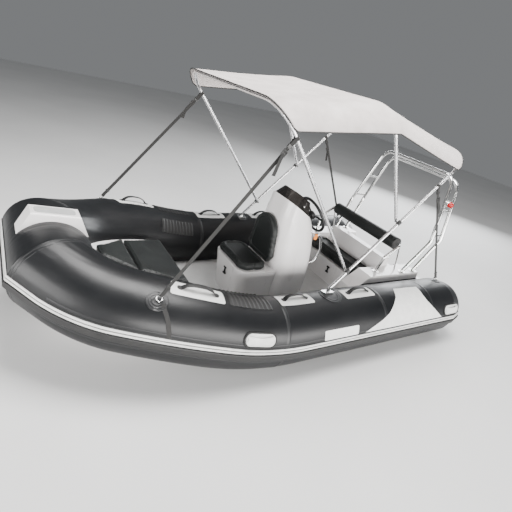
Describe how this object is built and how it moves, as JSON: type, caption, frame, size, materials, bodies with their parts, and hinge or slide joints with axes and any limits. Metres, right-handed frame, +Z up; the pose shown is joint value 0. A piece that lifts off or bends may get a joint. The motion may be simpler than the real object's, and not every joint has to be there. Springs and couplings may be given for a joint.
{
  "type": "inflatable rib boat",
  "caption": "Rigid-hulled inflatable boat with jockey console, two bench seats, bow locker, stern arch and a folding sun canopy.",
  "frame": {"origin": "on the centreline, amidships, at the waterline", "axes": "+X to the bow, +Y to port, +Z up"},
  "size_m": [3.4729, 1.93, 1.979],
  "materials": {
    "aluminium_tube": "anodised aluminium tube",
    "canopy_pale": "pale warm grey canopy cloth with black piping",
    "dash_black": "black dash panel",
    "deck_grey": "light grey non-slip sole",
    "fitting_black": "black nylon fitting",
    "gelcoat_white": "glossy white gelcoat on glass-fibre mouldings",
    "handle_white": "white moulded rubber handle",
    "lamp_red": "red lamp lens in a chromed base",
    "patch_black": "black tube fabric patch",
    "patch_white": "white tube fabric patch",
    "rubber_black": "moulded black rubber",
    "smoked_screen": "smoked acrylic",
    "stainless": "polished stainless steel",
    "strake_black": "black rubber rubbing strake with two white lines",
    "tube_black": "black coated tube fabric, semi-matte",
    "vinyl_black": "black marine vinyl over foam",
    "webbing_black": "black polyester webbing",
    "wheel_black": "black wheel rim and hub"
  },
  "bodies": {
    "boat": {"aft_straps": "webbing_black", "bimini_mounts": "stainless", "bolster": "vinyl_black", "bolster_frame": "stainless", "bow_cushion_front": "vinyl_black", "bow_eye": "stainless", "bow_locker": "gelcoat_white", "bow_step": "gelcoat_white", "cockpit_sole": "deck_grey", "console": "gelcoat_white", "console_rail": "stainless", "d_rings": "stainless", "dash_panel": "dash_black", "front_backrest": "vinyl_black", "front_straps": "webbing_black", "grab_handles": "rubber_black", "handle_pads": "patch_white", "hull": "gelcoat_white", "lifting_handles": "handle_white", "patches": "patch_black", "rear_bulkhead": "gelcoat_white", "rear_seat_box": "gelcoat_white", "rub_strake": "strake_black", "seat_latches": "rubber_black", "stern_arch": "stainless", "stern_light": "lamp_red", "stern_well": "gelcoat_white", "stern_wings": "gelcoat_white", "transom": "gelcoat_white", "tube_bow": "tube_black", "tube_port": "tube_black", "tube_starboard": "tube_black", "windscreen": "smoked_screen"},
    "steering": {"steering_wheel": "wheel_black"},
    "front_seat": {"front_seat_lid": "gelcoat_white", "front_seat_cushion": "vinyl_black"},
    "rear_seat": {"rear_seat_lid": "gelcoat_white", "rear_seat_cushion": "vinyl_black"},
    "bow_lid": {"bow_hatch": "gelcoat_white", "bow_cushion_back": "vinyl_black"},
    "bimini_main": {"bimini_main_bow": "aluminium_tube", "bimini_jaws": "fitting_black", "canopy": "canopy_pale"},
    "bimini_middle": {"bimini_middle_bow": "aluminium_tube"},
    "bimini_front": {"bimini_front_bow": "aluminium_tube"}
  },
  "joints": [
    {"name": "wheel_turn", "type": "hinge", "parent": "boat", "child": "steering", "pos_m": [-0.40617, 0, 0.79366], "axis": [-0.8763, 0, 0.4817], "range_deg": [-540, 540]},
    {"name": "front_seat_lift", "type": "hinge", "parent": "boat", "child": "front_seat", "pos_m": [0.06, 0, 0.4566], "axis": [0, -1, 0], "range_deg": [0, 75]},
    {"name": "rear_seat_lift", "type": "hinge", "parent": "boat", "child": "rear_seat", "pos_m": [-1.018, 0, 0.4126], "axis": [0, -1, 0], "range_deg": [0, 70]},
    {"name": "bow_lid_lift", "type": "hinge", "parent": "boat", "child": "bow_lid", "pos_m": [1.084, 0, 0.47534], "axis": [0, 1, 0], "range_deg": [0, 75]},
    {"name": "bimini_fold", "type": "hinge", "parent": "bimini_main", "child": "bimini_front", "pos_m": [-0.28, 0, 0.63886], "axis": [0, -1, 0], "range_deg": [0, 78], "deforming": ["canopy", "front_straps", "aft_straps"]},
    {"name": "bimini_middle_swing", "type": "hinge", "parent": "bimini_main", "child": "bimini_middle", "pos_m": [-0.628, 0, 1.02453], "axis": [0, -1, 0], "range_deg": [0, 70]},
    {"name": "bimini_main_swing", "type": "hinge", "parent": "boat", "child": "bimini_main", "pos_m": [-0.152, 0, 0.497], "axis": [0, -1, 0], "range_deg": [0, 12]}
  ],
  "couplings": [
    {"joint": "bimini_middle_swing", "follows": "bimini_fold", "ratio": 0.89744},
    {"joint": "bimini_main_swing", "follows": "bimini_fold", "ratio": 0.15385}
  ]
}
